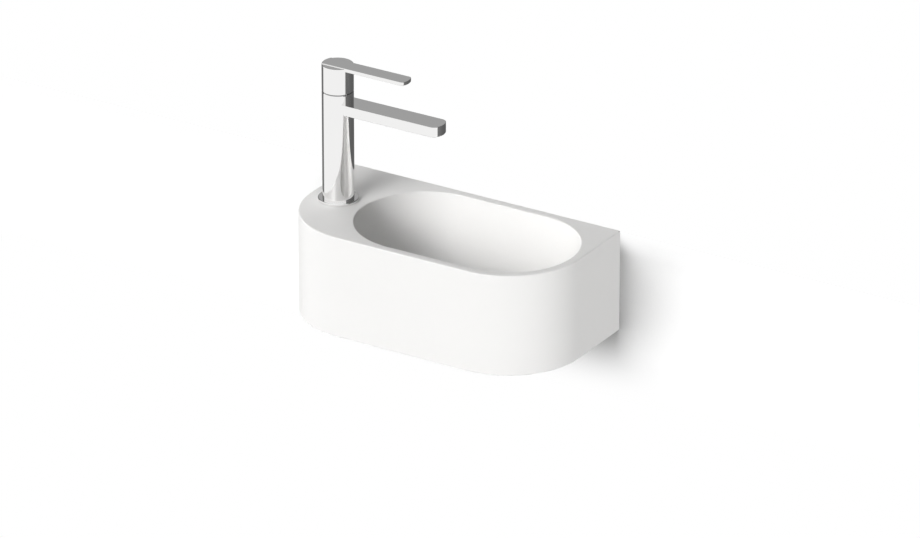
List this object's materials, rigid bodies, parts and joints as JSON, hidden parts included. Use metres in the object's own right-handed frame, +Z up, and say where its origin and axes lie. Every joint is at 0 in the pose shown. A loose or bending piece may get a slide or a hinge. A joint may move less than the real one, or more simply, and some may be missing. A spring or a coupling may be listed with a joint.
{
  "type": "wall-hung hand basin with tap",
  "caption": "Small wall-hung basin with round front corners, a long round-ended bowl and a pillar tap with a flat spout, worked by a flat quarter-turn lever on its cap.",
  "frame": {"origin": "on the wall face of the basin, midway between the two wall fixing holes", "axes": "+X along the wall to the right as seen by the user, +Y into the wall, +Z up"},
  "size_m": [0.36, 0.186, 0.3287],
  "materials": {
    "solid_surface": "matt white",
    "chrome": "polished",
    "brass": "machined",
    "steel": "plain",
    "rubber": "matt",
    "plastic": "moulded",
    "ceramic": "lapped"
  },
  "bodies": {
    "basin_and_tap": {"basin": "solid_surface", "waste_body": "chrome", "waste_cap": "chrome", "waste_stud": "steel", "waste_upper_seal": "rubber", "waste_lower_seal": "rubber", "waste_slip_washer": "plastic", "waste_lock_nut": "brass", "base_flange": "chrome", "base_seal": "rubber", "tap_body": "chrome", "tap_tail": "brass", "tail_seal": "rubber", "centring_washer": "plastic", "clamp_washer": "steel", "back_nut": "brass", "aerator_housing": "chrome", "aerator_insert": "plastic", "aerator_seal": "rubber", "headwork_body": "brass", "headwork_seal": "rubber", "seat_seal": "rubber", "fixed_disc": "ceramic", "guide_ring": "chrome"},
    "lever": {"lever_handle": "chrome", "handle_screw": "steel", "screw_plug": "chrome", "spindle": "brass", "spindle_ring": "rubber", "spindle_clip": "steel", "moving_disc": "ceramic"}
  },
  "joints": [
    {"name": "lever_turn", "type": "hinge", "parent": "basin_and_tap", "child": "lever", "pos_m": [-0.14235, -0.093, 0.2], "axis": [0, 0, 1], "range_deg": [-90, 0]}
  ]
}
